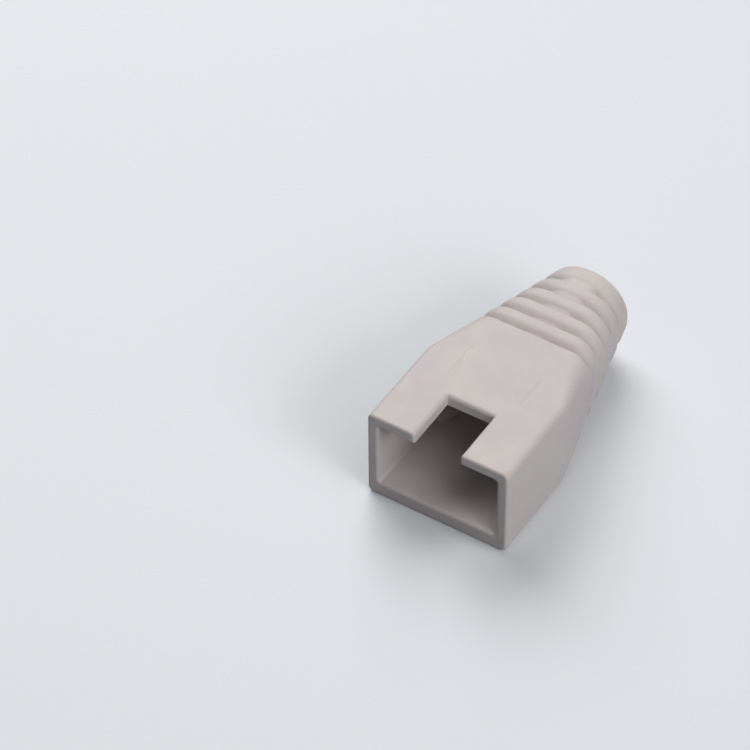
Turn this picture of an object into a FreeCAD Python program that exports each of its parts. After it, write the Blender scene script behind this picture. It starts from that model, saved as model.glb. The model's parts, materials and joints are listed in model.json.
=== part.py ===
import FreeCAD, Part
import math
import os

# Slip-on strain relief boot for an eight-way modular (8P8C) cable plug, moulded in
# one piece of soft PVC. The plug's rear half sits in the square socket, its latch
# springs up through the slot, and the cable leaves through the ribbed, bendy tail.
#
# Millimetres. X is across the boot, Y runs from the mouth to the tail and Z is up,
# with the latch slot on top. The origin is below the middle, on the table.

# What the boot goes round, and the room that it leaves on every side
plug_width = 11.68
plug_height = 6.6
plug_side_room = 0.06
plug_face_room = 0.1
cable_diameter = 5.6
cable_room = 0.2

# Socket for the plug, and the walls round it
socket_depth = 9.0
socket_corner_radius = 0.3
side_wall = 1.1
closed_wall = 1.55
slotted_wall = 1.15
lead_in = 0.32
body_edge_radius = 0.6
open_edge_radius = 0.25

# Slot for the plug's latch
slot_width = 4.6
slot_length = 5.5

# Body, which narrows past a rounded shoulder to the neck
body_length = 15.95
shoulder_y = 9.8
shoulder_radius = 5.0
shoulder_steps = 4
neck_width = 11.55
neck_height = 9.3
neck_corner_radius = 1.9

# Ribbed tail, square at the neck and round at its end
tail_length = 10.45
tail_wall = 0.925
tail_crown_flat = 0.2
tail_end_radius = 0.4
collar_length = 1.85
groove_count = 5
groove_width = 0.8
groove_depth = 0.45
groove_floor = 0.25
ramp_lip = 0.08
ramp_root = 0.15
rim_radius = 0.28
rim_steps = 3

# Webs that tie the rings together and stop the tail from stretching
side_web_neck_width = 6.4
side_web_end_width = 2.5
side_web_recess = 0.14
face_web_neck_width = 2.4
face_web_end_width = 4.0
face_web_neck_recess = 0.38
face_web_end_recess = 0.1

# Faint straight marks that the mould's inserts leave along both broad faces
mark_spacing = 7.2
mark_start = 7.7
mark_length = 4.0
mark_width = 0.2
mark_depth = 0.06

# Way through for the cable, behind the socket
funnel_length = 8.5
bore_chamfer = 0.25

# How far solids run into each other before they are fused, and cutters run clear
overlap = 0.5
clear = 1.0

# Worked-out sizes
socket_width = plug_width + 2 * plug_side_room
socket_height = plug_height + 2 * plug_face_room
body_width = socket_width + 2 * side_wall
body_height = closed_wall + socket_height + slotted_wall
bore_radius = cable_diameter / 2 + cable_room
tail_diameter = 2 * (bore_radius + tail_wall)
tail_draft = ((neck_width + neck_height) / 2 - tail_diameter) / 2 / tail_length

# Worked-out places
mid_height = body_height / 2
socket_mid_height = closed_wall + socket_height / 2
bore_y = socket_depth + funnel_length
boot_length = body_length + tail_length
collar_y = boot_length - collar_length
groove_pitch = (collar_y - groove_width - body_length) / (groove_count - 1)
groove_starts = [body_length + i * groove_pitch for i in range(groove_count)]
along = FreeCAD.Vector(0, 1, 0)


def rounded_section(y, width, height, radius, middle=mid_height):
    """Wire across the boot at y: a rectangle with round corners."""
    half_width = width / 2
    half_height = height / 2
    flat_x = half_width - radius
    flat_z = half_height - radius
    bulge = radius * math.sqrt(0.5)
    corner = [(half_width, flat_z), (flat_x + bulge, flat_z + bulge), (flat_x, half_height)]
    corners = [
        corner,
        [(-x, z) for x, z in reversed(corner)],
        [(-x, -z) for x, z in corner],
        [(x, -z) for x, z in reversed(corner)],
    ]
    placed = [[FreeCAD.Vector(x, y, middle + z) for x, z in points] for points in corners]
    edges = []
    for index, (start, halfway, end) in enumerate(placed):
        following = placed[(index + 1) % len(placed)][0]
        edges.append(Part.Arc(start, halfway, end).toShape())
        edges.append(Part.LineSegment(end, following).toShape())
    return Part.Wire(edges)


def rim():
    """Steps round a rim's quarter circle, as (distance from the end face, inset from the side)."""
    angles = [math.pi / 2 * step / rim_steps for step in range(rim_steps + 1)]
    return [(rim_radius * (1 - math.cos(angle)), rim_radius * (1 - math.sin(angle))) for angle in angles]


def between(start, end, share):
    """Value a share of the way from start to end."""
    return start + (end - start) * share


def box(x_size, y_low, y_high, z_low, z_high):
    """Block centred on the middle plane of the boot."""
    corner = FreeCAD.Vector(-x_size / 2, y_low, z_low)
    return Part.makeBox(x_size, y_high - y_low, z_high - z_low, corner)


def bar(y_low, low_size, y_high, high_size):
    """Straight bar along the boot, with a (width, height) at each end, round the middle line."""
    x_low, z_low = low_size[0] / 2, low_size[1] / 2
    x_high, z_high = high_size[0] / 2, high_size[1] / 2
    wedge = Part.makeWedge(-x_low, y_low, -z_low, -z_high, -x_high, x_low, y_high, z_low, z_high, x_high)
    wedge.translate(FreeCAD.Vector(0, 0, mid_height))
    return wedge


def body_section(y, width):
    """Body's outline at y, where it is that wide: lower and rounder the narrower it is."""
    share = (body_width - width) / (body_width - neck_width)
    height = between(body_height, neck_height, share)
    radius = between(body_edge_radius, neck_corner_radius, share)
    return rounded_section(y, width, height, radius)


def neck_section(y, inset):
    """Neck's outline at y, drawn in by inset."""
    return rounded_section(y, neck_width - 2 * inset, neck_height - 2 * inset, neck_corner_radius - inset)


def make_body():
    """Square body that narrows, past a rounded shoulder, to the round-edged neck."""
    slope = math.atan2((body_width - neck_width) / 2, body_length - rim_radius - shoulder_y)
    tangent = shoulder_radius * math.tan(slope / 2)
    bend = []
    for step in range(shoulder_steps + 1):
        angle = slope * step / shoulder_steps
        y = shoulder_y - tangent + shoulder_radius * math.sin(angle)
        bend.append(body_section(y, body_width - 2 * shoulder_radius * (1 - math.cos(angle))))
    front = Part.makeLoft([body_section(0, body_width), bend[0]], True, True)
    shoulder = Part.makeLoft(bend, True, False)
    neck = [neck_section(body_length - depth, inset) for depth, inset in reversed(rim())]
    taper = Part.makeLoft([bend[-1]] + neck, True, True)
    return front.fuse([shoulder, taper])


def tail_size(y):
    """Width, height and corner radius of the tail at y."""
    share = (y - body_length) / tail_length
    width = between(neck_width, tail_diameter, share)
    height = between(neck_height, tail_diameter, share)
    radius = between(neck_corner_radius, (tail_diameter - tail_crown_flat) / 2, share)
    return width, height, radius


def tail_loft(stations):
    """Solid stretch of the tail through stations of (y, inset).

    Its middle has the tail's own size, and all its sides have the tail's mean draft,
    which keeps its corners true cones.
    """
    middle = (stations[0][0] + stations[-1][0]) / 2
    width, height, radius = tail_size(middle)
    sections = []
    for y, inset in stations:
        drawn_in = inset + tail_draft * (y - middle)
        sections.append(rounded_section(y, width - 2 * drawn_in, height - 2 * drawn_in, radius - drawn_in))
    return Part.makeLoft(sections, True, True)


def ramp(end):
    """Stations up the sloped far side of the groove that ends at end, from under its floor."""
    slope = (groove_depth - ramp_lip) / (groove_width - groove_floor)
    foot = end - groove_width + groove_floor - ramp_root
    return [(foot, groove_depth + slope * ramp_root), (end, ramp_lip), (end + rim_radius, 0.0)]


def make_tail():
    """Core under the grooves, rings between them and the collar at the end."""
    pieces = []
    for start in groove_starts:
        end = start + groove_width
        pieces.append(tail_loft([(start - overlap, groove_depth), (end + overlap, groove_depth)]))
    for start, next_start in zip(groove_starts, groove_starts[1:]):
        far_rim = [(next_start - depth, inset) for depth, inset in reversed(rim())]
        pieces.append(tail_loft(ramp(start + groove_width) + far_rim))
    collar = tail_loft(ramp(collar_y) + [(boot_length, 0.0)])
    end_edges = [edge for edge in collar.Edges if edge.BoundBox.YMin > boot_length - tail_end_radius]
    pieces.append(collar.makeFillet(tail_end_radius, end_edges))
    return pieces


def make_webs():
    """Webs that bridge the grooves, at both sides and on both faces.

    They follow the rings' own curve. The side webs are wide and just below the rings.
    The face webs are narrow and low at the neck, wide and almost flush at the collar.
    """
    start = body_length - overlap
    end = collar_y + overlap
    start_width, start_height, _ = tail_size(start)
    end_width, end_height, _ = tail_size(end)
    side_lane = bar(start, (start_width, side_web_neck_width), end, (end_width, side_web_end_width))
    face_lane = bar(start, (face_web_neck_width, start_height), end, (face_web_end_width, end_height))
    webs = []
    for groove_start in groove_starts:
        near = groove_start - overlap
        far = groove_start + groove_width + overlap
        side_stations = [(near, side_web_recess), (far, side_web_recess)]
        face_stations = []
        for y in (near, far):
            share = (y - body_length) / (collar_y - body_length)
            face_stations.append((y, between(face_web_neck_recess, face_web_end_recess, share)))
        webs.append(tail_loft(side_stations).common(side_lane))
        webs.append(tail_loft(face_stations).common(face_lane))
    return webs


def make_marks():
    """Cutters for the insert marks: a shallow line each side of the middle, on both broad faces."""
    cutters = []
    for x in (-mark_spacing / 2, mark_spacing / 2):
        for z_low in (mark_depth - clear, body_height - mark_depth):
            mark = box(mark_width, mark_start, mark_start + mark_length, z_low, z_low + clear)
            mark.translate(FreeCAD.Vector(x, 0, 0))
            cutters.append(mark)
    return cutters


def socket_section(y, grow):
    """Socket's outline at y, let out by grow on every side."""
    width = socket_width + 2 * grow
    height = socket_height + 2 * grow
    return rounded_section(y, width, height, socket_corner_radius + grow, socket_mid_height)


def make_cavity():
    """Space inside: lead-in, socket, funnel and bore, as one solid to cut away."""
    sections = [socket_section(-clear, lead_in + clear), socket_section(lead_in, 0.0)]
    sections.append(socket_section(socket_depth, 0.0))
    socket = Part.makeLoft(sections, True, True)
    funnel_foot = FreeCAD.Vector(0, socket_depth, mid_height)
    funnel = Part.makeCone(socket_width / 2, bore_radius, funnel_length, funnel_foot, along)
    level = box(socket_width, socket_depth, bore_y, closed_wall, closed_wall + socket_height)
    funnel = funnel.common(level)
    bore_foot = FreeCAD.Vector(0, bore_y, mid_height)
    bore = Part.makeCylinder(bore_radius, boot_length + clear - bore_y, bore_foot, along)
    flare_foot = FreeCAD.Vector(0, boot_length - bore_chamfer, mid_height)
    flare_length = bore_chamfer + clear
    flare = Part.makeCone(bore_radius, bore_radius + flare_length, flare_length, flare_foot, along)
    return socket.fuse([funnel, bore, flare])


def open_edges(shape):
    """Edges that a finger meets: the outer rim of the mouth and the top of the latch slot."""
    near = 1e-3
    chosen = []
    for edge in shape.Edges:
        bounds = edge.BoundBox
        reach_x = max(abs(bounds.XMin), abs(bounds.XMax))
        reach_z = max(abs(bounds.ZMin - socket_mid_height), abs(bounds.ZMax - socket_mid_height))
        in_mouth = bounds.YMax < near
        past_lead_in = reach_x > socket_width / 2 + lead_in + near
        past_lead_in = past_lead_in or reach_z > socket_height / 2 + lead_in + near
        in_slot = reach_x < slot_width / 2 + near and bounds.YMax < slot_length + near
        at_top = bounds.ZMax > body_height - near
        if (in_mouth and past_lead_in) or (in_slot and at_top):
            chosen.append(edge)
    return chosen


def make_boot():
    """The whole moulding, with its mouth at y = 0."""
    outside = make_body().fuse(make_tail() + make_webs())
    hollow = outside.cut([make_cavity()] + make_marks())
    slot = box(slot_width, -clear, slot_length, socket_mid_height, body_height + clear)
    slotted = hollow.cut(slot).removeSplitter()
    return slotted.makeFillet(open_edge_radius, open_edges(slotted))


boot = make_boot()
boot.translate(FreeCAD.Vector(0, -boot_length / 2, 0))

os.makedirs("parts", exist_ok=True)
boot.exportStep("parts/strain_relief_boot.step")
print("solids", len(boot.Solids), "valid", boot.isValid(), "volume", round(boot.Volume, 2))
print("box", boot.optimalBoundingBox(False, False))
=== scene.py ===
import json
import math

import bpy
from mathutils import Matrix, Vector


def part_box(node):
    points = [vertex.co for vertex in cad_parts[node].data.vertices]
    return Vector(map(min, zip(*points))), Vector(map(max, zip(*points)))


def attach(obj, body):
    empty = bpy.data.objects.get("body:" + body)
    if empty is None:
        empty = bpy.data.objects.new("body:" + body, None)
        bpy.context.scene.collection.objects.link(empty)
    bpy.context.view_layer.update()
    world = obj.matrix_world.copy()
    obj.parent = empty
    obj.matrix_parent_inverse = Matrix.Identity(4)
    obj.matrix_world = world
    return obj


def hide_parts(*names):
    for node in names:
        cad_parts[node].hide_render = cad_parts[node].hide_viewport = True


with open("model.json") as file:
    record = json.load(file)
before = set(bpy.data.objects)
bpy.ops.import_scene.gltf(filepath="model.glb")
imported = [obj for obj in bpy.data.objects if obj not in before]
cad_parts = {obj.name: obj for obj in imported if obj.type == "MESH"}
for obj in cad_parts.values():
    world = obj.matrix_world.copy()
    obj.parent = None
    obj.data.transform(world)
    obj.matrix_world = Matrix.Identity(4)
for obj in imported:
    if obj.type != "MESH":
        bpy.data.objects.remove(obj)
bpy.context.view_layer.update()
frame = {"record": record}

# ---------------------------------------------------------------------------------
# Outside of the boot: a square body that narrows to a round tail.
# The real one is a single injection moulding in soft PVC, with rounded edges where
# the mould was opened out. Sizes are millimetres, with y = 0 at the mouth, until the
# moulding is finished.
# ---------------------------------------------------------------------------------

MM = 0.001
lowest, highest = [Vector(corner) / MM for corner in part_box("strain_relief_boot")]
mounts = {mount["name"]: mount for mount in frame["record"]["mounts"]}

body_width = highest.x - lowest.x
body_height = highest.z - lowest.z
boot_length = highest.y - lowest.y
mid_height = body_height / 2
body_edge_radius = 0.6
mouth_edge_radius = 0.25

shoulder_y = 9.8
shoulder_blend = 0.52
neck_y = 15.95
neck_width = 11.55
neck_height = 9.3
neck_corner_radius = 1.9

bore_radius = mounts["cable_bore"]["dims"]["r_mm"]
tail_wall = 0.925
tail_crown_flat = 0.2
tail_end_radius = 0.4
tail_radius = bore_radius + tail_wall
rim_radius = 0.28

body_rows = 44
tail_row_spacing = 0.05
edge_steps = 6
outside_columns = (28, 40, 34)


def between(start, end, share):
    """Sizes a share of the way from start to end."""
    return [low + (high - low) * share for low, high in zip(start, end)]


def outline(y):
    """Half width, half height and corner radius of the boot at y."""
    mouth = (body_width / 2, body_height / 2, body_edge_radius)
    neck = (neck_width / 2, neck_height / 2, neck_corner_radius)
    end = (tail_radius, tail_radius, tail_radius - tail_crown_flat / 2)
    if y > neck_y:
        return between(neck, end, (y - neck_y) / (boot_length - neck_y))
    past = y - shoulder_y
    if abs(past) < shoulder_blend:
        past = (past + shoulder_blend) ** 2 / (4 * shoulder_blend)
    share = max(past, 0.0) / (neck_y - rim_radius - shoulder_y)
    return between(mouth, neck, min(share, 1.0))


def rounded_loop(y, half_width, half_height, radius, middle, columns):
    """Points round a rectangle with round corners; columns are for a side, a face and a corner."""
    side_columns, face_columns, corner_columns = columns
    flat_x = half_width - radius
    flat_z = half_height - radius
    corners = [(flat_x, flat_z), (-flat_x, flat_z), (-flat_x, -flat_z), (flat_x, -flat_z)]
    flats = [(-2 * flat_x, 0), (0, -2 * flat_z), (2 * flat_x, 0), (0, 2 * flat_z)]
    loop = []
    for turn, ((x, z), (along_x, along_z)) in enumerate(zip(corners, flats)):
        for step in range(corner_columns):
            angle = math.pi / 2 * (turn + step / corner_columns)
            loop.append((x + radius * math.cos(angle), y, middle + z + radius * math.sin(angle)))
        angle = math.pi / 2 * (turn + 1)
        x += radius * math.cos(angle)
        z += radius * math.sin(angle)
        flat_columns = side_columns if turn % 2 else face_columns
        for step in range(flat_columns):
            share = step / flat_columns
            loop.append((x + along_x * share, y, middle + z + along_z * share))
    return loop


def skinned_loops(name, loops):
    """Closed mesh object through loops of as many points each, with a flat end at both ends."""
    count = len(loops[0])
    points = [point for loop in loops for point in loop]
    last = len(points) - count
    faces = [tuple(range(count)), tuple(reversed(range(last, len(points))))]
    for low in range(0, last, count):
        for index in range(count):
            following = (index + 1) % count
            faces.append((low + index, low + count + index, low + count + following, low + following))
    mesh = bpy.data.meshes.new(name)
    mesh.from_pydata(points, [], faces)
    made = bpy.data.objects.new(name, mesh)
    bpy.context.scene.collection.objects.link(made)
    return made


def quarter_circle(radius, steps):
    """Steps round a quarter circle, as (distance along, distance in)."""
    angles = [math.pi / 2 * step / steps for step in range(steps + 1)]
    return [(radius * (1 - math.cos(angle)), radius * (1 - math.sin(angle))) for angle in angles]


tail_start = neck_y - rim_radius - tail_row_spacing
tail_stop = boot_length - tail_end_radius
body_spacing = (tail_start - mouth_edge_radius) / body_rows
tail_rows = round((tail_stop - tail_start) / tail_row_spacing)
rows = quarter_circle(mouth_edge_radius, edge_steps)
rows += [(mouth_edge_radius + body_spacing * step, 0.0) for step in range(1, body_rows + 1)]
rows += [(tail_start + (tail_stop - tail_start) * step / tail_rows, 0.0) for step in range(1, tail_rows)]
tail_end = reversed(quarter_circle(tail_end_radius, edge_steps))
rows += [(boot_length - along, inset) for along, inset in tail_end]

loops = []
for y, inset in rows:
    half_width, half_height, radius = [size - inset for size in outline(y)]
    loops.append(rounded_loop(y, half_width, half_height, radius, mid_height, outside_columns))
boot = skinned_loops("boot_moulding", loops)

# ---------------------------------------------------------------------------------
# Soft PVC: plasticised vinyl in warm grey, as it comes out of the mould.
# It is matte and slightly waxy, lets a little light into its surface, and shows faint
# flow clouds and a fine spark-eroded grain. Shade is painted darker at the bottom of the grooves.
# ---------------------------------------------------------------------------------


def linear(hex_colour):
    """sRGB hex colour as linear RGBA."""
    shares = [int(hex_colour[i:i + 2], 16) / 255 for i in (1, 3, 5)]
    return tuple(s / 12.92 if s <= 0.04045 else ((s + 0.055) / 1.055) ** 2.4 for s in shares) + (1.0,)


def add_node(tree, kind, inputs=(), **settings):
    """Adds a node and returns its first output. Inputs are values or outputs, in order or by name."""
    node = tree.nodes.new(kind)
    for name, value in settings.items():
        setattr(node, name, value)
    for key, value in inputs.items() if isinstance(inputs, dict) else enumerate(inputs):
        if isinstance(value, bpy.types.NodeSocket):
            tree.links.new(value, node.inputs[key])
        else:
            node.inputs[key].default_value = value
    return node.outputs[0] if node.outputs else None


groove_depth = 0.45

cool_grey = linear("#CBC0C1")
warm_grey = linear("#CEC7C3")
# Painted shade: this grey and the two numbers below darken the bottom of the grooves
painted_groove_shade_grey = linear("#A0938F")
painted_groove_shade_strength = 0.75
painted_groove_shade_start = 0.25 * groove_depth
handled_roughness = 0.52
dull_roughness = 0.64
noise_low = 0.3
noise_high = 0.7
refraction = 1.53
light_let_in = 0.15
light_spread = (1.0, 0.8, 0.7)

cloud_size = 5.0 * MM
smear_size = 1.4 * MM
grain_size = 0.11 * MM
grain_height = 0.006 * MM
ripple_size = 2.6 * MM
ripple_height = 0.02 * MM
light_reach = 0.5 * MM

soft_pvc = bpy.data.materials.new("moulded soft PVC, warm grey")
soft_pvc.use_nodes = True
pvc = soft_pvc.node_tree
shader = pvc.nodes["Principled BSDF"]
places = add_node(pvc, "ShaderNodeTexCoord").node.outputs["Object"]

# Colour: clouds of a warmer and a cooler grey, then painted shade: a darker grey at the bottom of the grooves
clouds = add_node(pvc, "ShaderNodeTexNoise", {"Vector": places, "Scale": 1 / cloud_size, "Detail": 3.0})
clouds = add_node(pvc, "ShaderNodeMapRange", {"Value": clouds, "From Min": noise_low, "From Max": noise_high})
colour = add_node(pvc, "ShaderNodeMix", {0: clouds, 6: cool_grey, 7: warm_grey},
                  data_type="RGBA").node.outputs[2]
smears = add_node(pvc, "ShaderNodeTexNoise", {"Vector": places, "Scale": 1 / smear_size, "Detail": 5.0})
# Painted shade in the grooves: darker grey by groove depth, mottled by the smears
depth = add_node(pvc, "ShaderNodeAttribute", attribute_name="groove_depth").node.outputs["Fac"]
painted_groove_shade = add_node(pvc, "ShaderNodeMapRange", {"Value": depth, "From Min": painted_groove_shade_start,
                                            "From Max": groove_depth, "To Max": painted_groove_shade_strength})
painted_groove_shade = add_node(pvc, "ShaderNodeMath", (painted_groove_shade, smears), operation="MULTIPLY")
colour = add_node(pvc, "ShaderNodeMix", {0: painted_groove_shade, 6: colour, 7: painted_groove_shade_grey},
                  data_type="RGBA").node.outputs[2]
pvc.links.new(colour, shader.inputs["Base Color"])

# Finish: matte, smoother where handled, rougher where the groove shade is painted
roughness = add_node(pvc, "ShaderNodeMapRange", {
    "Value": smears, "From Min": noise_low, "From Max": noise_high,
    "To Min": handled_roughness, "To Max": dull_roughness})
roughness = add_node(pvc, "ShaderNodeMath", (roughness, painted_groove_shade), operation="ADD")
pvc.links.new(roughness, shader.inputs["Roughness"])

# Relief: slow sink ripples from cooling under the fine grain of the mould
ripples = add_node(pvc, "ShaderNodeTexNoise", {"Vector": places, "Scale": 1 / ripple_size, "Detail": 1.0})
grain = add_node(pvc, "ShaderNodeTexNoise", {"Vector": places, "Scale": 1 / grain_size, "Detail": 2.0})
relief = add_node(pvc, "ShaderNodeBump", {"Height": ripples, "Distance": ripple_height})
relief = add_node(pvc, "ShaderNodeBump", {"Height": grain, "Distance": grain_height, "Normal": relief})
pvc.links.new(relief, shader.inputs["Normal"])

shader.inputs["IOR"].default_value = refraction
shader.inputs["Subsurface Weight"].default_value = light_let_in
shader.inputs["Subsurface Radius"].default_value = light_spread
shader.inputs["Subsurface Scale"].default_value = light_reach

# ---------------------------------------------------------------------------------
# Grooves and webs of the tail, sunk into the skin by Geometry Nodes.
# Five moulded grooves leave rings that let the tail bend. Webs at the sides and on
# both faces bridge the grooves, so that it bends but does not stretch.
# ---------------------------------------------------------------------------------

groove_count = 5
groove_width = 0.8
groove_floor = 0.25
ramp_lip = 0.08
wall_draft = 0.07
floor_blend = 0.09
collar_length = 1.85
collar_y = boot_length - collar_length

side_web_neck_width = 6.4
side_web_end_width = 2.5
side_web_recess = 0.08
face_web_neck_width = 2.0
face_web_end_width = 3.2
face_web_neck_recess = 0.38
face_web_end_recess = 0.1
web_edge = 0.8

sizes = {
    "Neck": neck_y,
    "Collar": collar_y,
    "Middle Height": mid_height,
    "Grooves": groove_count,
    "Groove Pitch": (collar_y - groove_width - neck_y) / (groove_count - 1),
    "Groove Width": groove_width,
    "Groove Depth": groove_depth,
    "Floor Width": groove_floor,
    "Ramp Lip": ramp_lip,
    "Rim Radius": rim_radius,
    "Wall Draft": wall_draft,
    "Floor Blend": floor_blend,
    "Half Side Web at Neck": side_web_neck_width / 2,
    "Half Side Web at Collar": side_web_end_width / 2,
    "Side Web Recess": side_web_recess,
    "Half Face Web at Neck": face_web_neck_width / 2,
    "Half Face Web at Collar": face_web_end_width / 2,
    "Face Web Recess at Neck": face_web_neck_recess,
    "Face Web Recess at Collar": face_web_end_recess,
    "Web Edge": web_edge,
}
tree = bpy.data.node_groups.new("Grooves and webs", "GeometryNodeTree")
tree.interface.new_socket("Geometry", in_out="OUTPUT", socket_type="NodeSocketGeometry")
tree.interface.new_socket("Geometry", in_out="INPUT", socket_type="NodeSocketGeometry")
for name in sizes:
    tree.interface.new_socket(name, in_out="INPUT", socket_type="NodeSocketFloat")
given = add_node(tree, "NodeGroupInput").node.outputs
x, y, z = add_node(tree, "ShaderNodeSeparateXYZ", (add_node(tree, "GeometryNodeInputPosition"),)).node.outputs

# Distance past the near edge of the nearest groove, of as many as there are
past_first = add_node(tree, "ShaderNodeMath", (y, given["Neck"]), operation="SUBTRACT")
nearest = add_node(tree, "ShaderNodeMath", (given["Groove Width"], 2.0), operation="DIVIDE")
nearest = add_node(tree, "ShaderNodeMath", (past_first, nearest), operation="SUBTRACT")
nearest = add_node(tree, "ShaderNodeMath", (nearest, given["Groove Pitch"]), operation="DIVIDE")
nearest = add_node(tree, "ShaderNodeMath", (nearest,), operation="ROUND")
last = add_node(tree, "ShaderNodeMath", (given["Grooves"], 1.0), operation="SUBTRACT")
nearest = add_node(tree, "ShaderNodeClamp", (nearest, 0.0, last))
nearest = add_node(tree, "ShaderNodeMath", (nearest, given["Groove Pitch"]), operation="MULTIPLY")
in_wall = add_node(tree, "ShaderNodeMath", (past_first, nearest), operation="SUBTRACT")

# Near side: a quarter circle at the rim, then a wall with a little draft
round_rim = add_node(tree, "ShaderNodeMath", (in_wall, given["Rim Radius"]), operation="ADD")
round_rim = add_node(tree, "ShaderNodeMath", (round_rim, given["Rim Radius"]), operation="DIVIDE",
                     use_clamp=True)
round_rim = add_node(tree, "ShaderNodeMath", (round_rim, 2.0), operation="POWER")
round_rim = add_node(tree, "ShaderNodeMath", (1.0, round_rim), operation="SUBTRACT")
round_rim = add_node(tree, "ShaderNodeMath", (round_rim,), operation="SQRT")
round_rim = add_node(tree, "ShaderNodeMath", (1.0, round_rim), operation="SUBTRACT")
round_rim = add_node(tree, "ShaderNodeMath", (round_rim, given["Rim Radius"]), operation="MULTIPLY")
wall = add_node(tree, "ShaderNodeMapRange", {"Value": in_wall, "From Max": given["Wall Draft"],
                                             "To Max": given["Groove Depth"]}, clamp=False)
wall = add_node(tree, "ShaderNodeMath", (wall, 0.0), operation="MAXIMUM")
groove = add_node(tree, "ShaderNodeMath", (round_rim, wall), operation="ADD")

# Far side: a ramp from the floor up to the next ring, rounded off at its lip
ramp = add_node(tree, "ShaderNodeMapRange", {
    "Value": in_wall, "From Min": given["Floor Width"], "From Max": given["Groove Width"],
    "To Min": given["Groove Depth"], "To Max": given["Ramp Lip"]}, clamp=False)
ramp = add_node(tree, "ShaderNodeMath", (ramp, 0.0, given["Rim Radius"]), operation="SMOOTH_MAX")
ramp_end = add_node(tree, "ShaderNodeMath", (given["Groove Width"], given["Rim Radius"]), operation="ADD")
before_end = add_node(tree, "ShaderNodeMath", (in_wall, ramp_end), operation="LESS_THAN")
ramp = add_node(tree, "ShaderNodeMath", (ramp, before_end), operation="MULTIPLY")
groove = add_node(tree, "ShaderNodeMath", (groove, ramp), operation="MINIMUM")

# Floor: the groove's own, or the web's where one crosses it
off_middle = add_node(tree, "ShaderNodeMath", (z, given["Middle Height"]), operation="SUBTRACT")
off_middle = add_node(tree, "ShaderNodeMath", (off_middle,), operation="ABSOLUTE")
half_web = add_node(tree, "ShaderNodeMapRange", {
    "Value": y, "From Min": given["Neck"], "From Max": given["Collar"],
    "To Min": given["Half Side Web at Neck"], "To Max": given["Half Side Web at Collar"]})
edge_in = add_node(tree, "ShaderNodeMath", (half_web, given["Web Edge"]), operation="SUBTRACT")
edge_out = add_node(tree, "ShaderNodeMath", (half_web, given["Web Edge"]), operation="ADD")
side_floor = add_node(tree, "ShaderNodeMapRange", {
    "Value": off_middle, "From Min": edge_in, "From Max": edge_out,
    "To Min": given["Side Web Recess"], "To Max": given["Groove Depth"]}, interpolation_type="SMOOTHSTEP")
half_web = add_node(tree, "ShaderNodeMapRange", {
    "Value": y, "From Min": given["Neck"], "From Max": given["Collar"],
    "To Min": given["Half Face Web at Neck"], "To Max": given["Half Face Web at Collar"]})
recess = add_node(tree, "ShaderNodeMapRange", {
    "Value": y, "From Min": given["Neck"], "From Max": given["Collar"],
    "To Min": given["Face Web Recess at Neck"], "To Max": given["Face Web Recess at Collar"]})
off_axis = add_node(tree, "ShaderNodeMath", (x,), operation="ABSOLUTE")
edge_in = add_node(tree, "ShaderNodeMath", (half_web, given["Web Edge"]), operation="SUBTRACT")
edge_out = add_node(tree, "ShaderNodeMath", (half_web, given["Web Edge"]), operation="ADD")
face_floor = add_node(tree, "ShaderNodeMapRange", {
    "Value": off_axis, "From Min": edge_in, "From Max": edge_out,
    "To Min": recess, "To Max": given["Groove Depth"]}, interpolation_type="SMOOTHSTEP")
floor_depth = add_node(tree, "ShaderNodeMath", (side_floor, face_floor), operation="MINIMUM")
groove = add_node(tree, "ShaderNodeMath", (groove, floor_depth, given["Floor Blend"]), operation="SMOOTH_MIN")
groove = add_node(tree, "ShaderNodeMath", (groove, 0.0), operation="MAXIMUM")

# The skin goes in by that depth, straight across the boot
outward = add_node(tree, "ShaderNodeVectorMath", (add_node(tree, "GeometryNodeInputNormal"), (1, 0, 1)),
                   operation="MULTIPLY")
outward = add_node(tree, "ShaderNodeVectorMath", (outward,), operation="NORMALIZE")
inward = add_node(tree, "ShaderNodeMath", (groove, -1.0), operation="MULTIPLY")
shift = add_node(tree, "ShaderNodeVectorMath", {"Vector": outward, "Scale": inward}, operation="SCALE")
kept = add_node(tree, "GeometryNodeStoreNamedAttribute", {
    "Geometry": given["Geometry"], "Name": "groove_depth", "Value": groove})
sunk = add_node(tree, "GeometryNodeSetPosition", {"Geometry": kept, "Offset": shift})
real = add_node(tree, "GeometryNodeRealizeInstances", {"Geometry": sunk})
coloured = add_node(tree, "GeometryNodeSetMaterial", {"Geometry": real, "Material": soft_pvc})
add_node(tree, "NodeGroupOutput", {"Geometry": coloured})

modifier = boot.modifiers.new("Grooves and webs", "NODES")
modifier.node_group = tree
for item in tree.interface.items_tree:
    if item.name in sizes:
        modifier[item.identifier] = float(sizes[item.name])


def apply_modifiers(thing):
    """Gives an object the plain mesh that its modifiers make, and clears them."""
    graph = bpy.context.evaluated_depsgraph_get()
    mesh = bpy.data.meshes.new_from_object(thing.evaluated_get(graph))
    thing.modifiers.clear()
    thing.data = mesh


apply_modifiers(boot)

# ---------------------------------------------------------------------------------
# Plug socket, funnel and cable bore: the space inside the moulding.
# A square core shapes the socket in the mould and a round pin shapes the bore. The
# lead-in round the mouth eases the plug in; the funnel guides the cable to the bore.
# ---------------------------------------------------------------------------------

socket_width = 11.8
socket_depth = 9.0
socket_corner_radius = 0.3
closed_wall = 1.55
slotted_wall = 1.15
lead_in = 0.32
bore_y = 17.5
bore_chamfer = 0.25
clear = 1.0

socket_height = body_height - closed_wall - slotted_wall
socket_middle = closed_wall + socket_height / 2
socket_columns = (1, 1, 6)
round_columns = 120
funnel_rows = 16

socket_loops = []
for y, grow in [(-clear, lead_in)] + quarter_circle(lead_in, edge_steps) + [(socket_depth, 0.0)]:
    socket_loops.append(rounded_loop(y, socket_width / 2 + grow, socket_height / 2 + grow,
                                     socket_corner_radius + grow, socket_middle, socket_columns))
socket = skinned_loops("socket_core", socket_loops)


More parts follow.
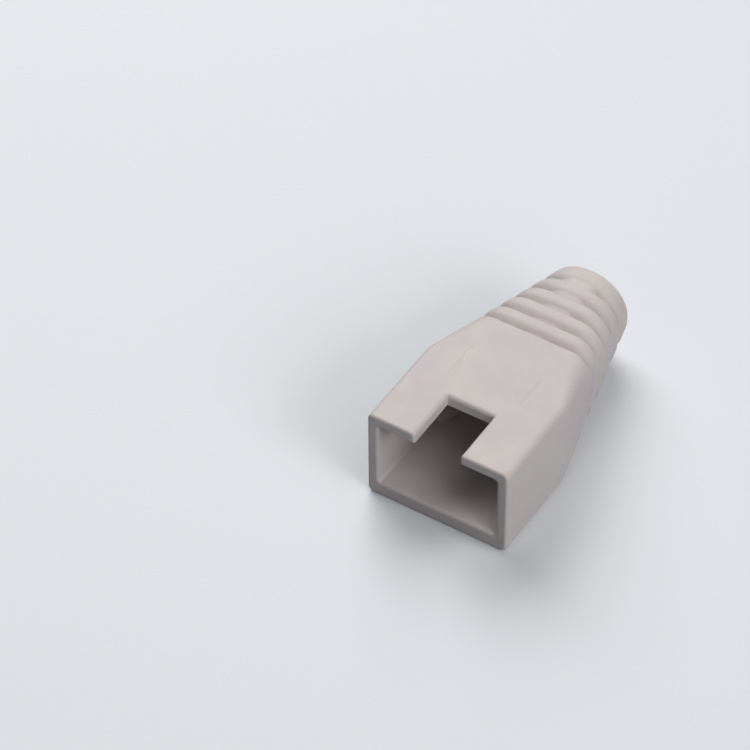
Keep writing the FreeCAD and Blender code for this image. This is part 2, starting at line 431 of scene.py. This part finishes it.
def round_loop(y, radius, ceiling, ground):
    """Circle round the bore's axis, cut off at a ceiling and at the ground."""
    loop = []
    for step in range(round_columns):
        angle = 2 * math.pi * step / round_columns
        height = mid_height + radius * math.sin(angle)
        loop.append((radius * math.cos(angle), y, min(max(height, ground), ceiling)))
    return loop


funnel_stations = [(socket_depth - clear, socket_width / 2 - clear)]
for step in range(funnel_rows + 1):
    y, radius = between((socket_depth, socket_width / 2), (bore_y, bore_radius), step / funnel_rows)
    funnel_stations.append((y, radius))
funnel_stations.append((boot_length - bore_chamfer, bore_radius))
funnel_stations.append((boot_length + clear, bore_radius + bore_chamfer + clear))
funnel_ceiling = closed_wall + socket_height
bore_loops = []
for y, radius in funnel_stations:
    roomy = clear if y > bore_y else 0.0
    bore_loops.append(round_loop(y, radius, funnel_ceiling + roomy, closed_wall - roomy))
bore = skinned_loops("bore_pin", bore_loops)

# ---------------------------------------------------------------------------------
# Latch slot: the cut in the top wall that lets the plug's latch spring up.
# Its upper edge and the ends of the two jaws are rounded, as moulded.
# ---------------------------------------------------------------------------------

slot_width = 4.6
slot_length = 5.5
slot_edge = 0.4
jaw_end_radius = 0.25
least_radius = 0.02
slot_corner_radius = 0.1


def slot_loop(height, grow):
    """Outline of the slot from above, let out by grow, with flared jaw ends and round inner corners."""
    half = slot_width / 2
    flare = max(jaw_end_radius - grow, least_radius)
    jaw = grow + flare
    inner = slot_corner_radius + grow
    left = [(-half - jaw, -clear)]
    for step in range(edge_steps + 1):
        angle = math.pi / 2 * (step / edge_steps - 1)
        left.append((-half - jaw + flare * math.cos(angle), jaw + flare * math.sin(angle)))
    for step in range(edge_steps + 1):
        angle = math.pi - math.pi / 2 * step / edge_steps
        left.append((-half + slot_corner_radius + inner * math.cos(angle),
                     slot_length - slot_corner_radius + inner * math.sin(angle)))
    right = [(-x_place, y_place) for x_place, y_place in reversed(left)]
    return [(x_place, y_place, height) for x_place, y_place in left + right]


slot_loops = [slot_loop(socket_middle, 0.0)]
for along, inset in quarter_circle(slot_edge, edge_steps):
    slot_loops.append(slot_loop(body_height - inset, along))
slot_loops.append(slot_loop(body_height + clear, slot_edge))
slot = skinned_loops("slot_core", slot_loops)

# ---------------------------------------------------------------------------------
# Insert marks: faint straight lines along both broad faces.
# The edges of a loose insert in the mould leave them.
# ---------------------------------------------------------------------------------

mark_spacing = 7.2
mark_start = 7.7
mark_length = 4.0
mark_width = 0.28
mark_depth = 0.06
mark_slope = 0.13

marks = []
for x_place in (-mark_spacing / 2, mark_spacing / 2):
    for face, up in ((0.0, 1), (body_height, -1)):
        section = [(mark_width / 2, face - up * clear), (mark_width / 2, face),
                   (mark_width / 2 - mark_slope, face + up * mark_depth),
                   (mark_slope - mark_width / 2, face + up * mark_depth),
                   (-mark_width / 2, face), (-mark_width / 2, face - up * clear)]
        ends = []
        for y in (mark_start, mark_start + mark_length):
            ends.append([(x_place + x, y, z) for x, z in section[::up]])
        marks.append(skinned_loops("mark_insert", ends))

# ---------------------------------------------------------------------------------
# Finished moulding: the skin less its cores.
# The tools come out and leave one piece, which is then set down in real size.
# ---------------------------------------------------------------------------------

sharp_edge_angle = math.radians(38)
cores = [socket, bore, slot] + marks

for tool in cores:
    cut = boot.modifiers.new(tool.name, "BOOLEAN")
    cut.operation = "DIFFERENCE"
    cut.solver = "EXACT"
    cut.object = tool
apply_modifiers(boot)
for tool in cores:
    bpy.data.objects.remove(tool)

boot.data.transform(Matrix.Scale(MM, 4) @ Matrix.Translation((0, -boot_length / 2, 0)))
boot.data.shade_smooth()
boot.data.set_sharp_from_angle(angle=sharp_edge_angle)
smooth = boot.modifiers.new("Flat faces stay flat", "WEIGHTED_NORMAL")
smooth.keep_sharp = True
apply_modifiers(boot)

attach(boot, "root")
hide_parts("strain_relief_boot")

# ---------------------------------------------------------------------------------
# Studio: a plain pale table under soft lamps: a main one behind on the left, another
# on the right, and two smaller ones low down that fill the mouth.
# ---------------------------------------------------------------------------------

backdrop_colour = linear("#F2F4F7")
backdrop_glow = 0.85
table_colour = linear("#E4E7EB")
table_roughness = 0.5
thrown_back_colour = linear("#8A9098")
half_floor = 4.0
lit_floor = 0.07
plain_floor = 0.35

floor_mesh = bpy.data.meshes.new("floor")
corners = [(-1, -1), (1, -1), (1, 1), (-1, 1)]
floor_mesh.from_pydata([(x * half_floor, y * half_floor, 0.0) for x, y in corners], [], [(0, 1, 2, 3)])
floor = bpy.data.objects.new("floor", floor_mesh)
bpy.context.scene.collection.objects.link(floor)

table_top = bpy.data.materials.new("pale satin table top")
table_top.use_nodes = True
table = table_top.node_tree
table_shader = table.nodes["Principled BSDF"]
table_shader.inputs["Base Color"].default_value = table_colour
table_shader.inputs["Roughness"].default_value = table_roughness


def seen_or_mirrored(tree):
    """1 for what is seen straight, in a gloss or through a clear part; 0 for light thrown on the boot."""
    rays = add_node(tree, "ShaderNodeLightPath").node.outputs
    seen = add_node(tree, "ShaderNodeMath", (rays["Is Camera Ray"], rays["Is Glossy Ray"]),
                    operation="MAXIMUM")
    return add_node(tree, "ShaderNodeMath", (seen, rays["Is Transmission Ray"]), operation="MAXIMUM")


# To the eye the table top runs out into the backdrop; on the boot it throws back less light
on_table = add_node(table, "ShaderNodeTexCoord").node.outputs["Object"]
away = add_node(table, "ShaderNodeVectorMath", (on_table,), operation="LENGTH").node.outputs["Value"]
away = add_node(table, "ShaderNodeMapRange", {"Value": away, "From Min": lit_floor, "From Max": plain_floor},
                interpolation_type="SMOOTHSTEP")
plain = add_node(table, "ShaderNodeEmission", (backdrop_colour, backdrop_glow))
surface = add_node(table, "ShaderNodeMixShader", (away, table_shader.outputs[0], plain))
thrown_back = add_node(table, "ShaderNodeBsdfDiffuse", (thrown_back_colour,))
surface = add_node(table, "ShaderNodeMixShader", (seen_or_mirrored(table), thrown_back, surface))
table.links.new(surface, table.nodes["Material Output"].inputs["Surface"])
floor_mesh.materials.append(table_top)

ambient = 0.05
world = bpy.data.worlds.new("studio")
world.use_nodes = True
backdrop = world.node_tree
background = backdrop.nodes["Background"]
background.inputs["Color"].default_value = backdrop_colour
seen = seen_or_mirrored(backdrop)
glow = add_node(backdrop, "ShaderNodeMapRange", {"Value": seen, "To Min": ambient, "To Max": backdrop_glow})
backdrop.links.new(glow, background.inputs["Strength"])
bpy.context.scene.world = world

# Each lamp's name, its place and width in metres, and its power in watts
lamps = (
    ("lamp behind on the left", (-0.35, 0.3, 0.45), 0.5, 3.12),
    ("lamp on the right", (0.35, 0.0, 0.5), 0.5, 1.1),
    ("low lamp on the right", (0.5, -0.1, 0.3), 0.25, 0.98),
    ("low lamp in front", (0.45, -0.3, 0.2), 0.25, 0.37),
)
for name, place, size, watts in lamps:
    lamp_data = bpy.data.lights.new(name, "AREA")
    lamp_data.size = size
    lamp_data.energy = watts
    lamp = bpy.data.objects.new(name, lamp_data)
    lamp.location = place
    lamp.rotation_euler = (-Vector(place)).to_track_quat("-Z", "Y").to_euler()
    bpy.context.scene.collection.objects.link(lamp)

camera_azimuth = math.radians(32.54)
camera_elevation = math.radians(45.55)
camera_roll = math.radians(-0.34)
camera_distance = 0.3205
lens_length = 174.7
sensor_width = 36.0
nearest_seen = 0.01
aim = Vector((-0.0114, -0.005, 0.00475))

camera_data = bpy.data.cameras.new("camera")
camera_data.lens = lens_length
camera_data.sensor_width = sensor_width
camera_data.clip_start = nearest_seen
camera = bpy.data.objects.new("camera", camera_data)
bpy.context.scene.collection.objects.link(camera)
toward_camera = Vector((math.sin(camera_azimuth) * math.cos(camera_elevation),
                        -math.cos(camera_azimuth) * math.cos(camera_elevation), math.sin(camera_elevation)))
level = (-toward_camera).to_track_quat("-Z", "Y").to_matrix().to_4x4()
place = Matrix.Translation(aim + toward_camera * camera_distance)
camera.matrix_world = place @ level @ Matrix.Rotation(camera_roll, 4, "Z")
bpy.context.scene.camera = camera

bpy.context.scene.view_settings.view_transform = "Standard"
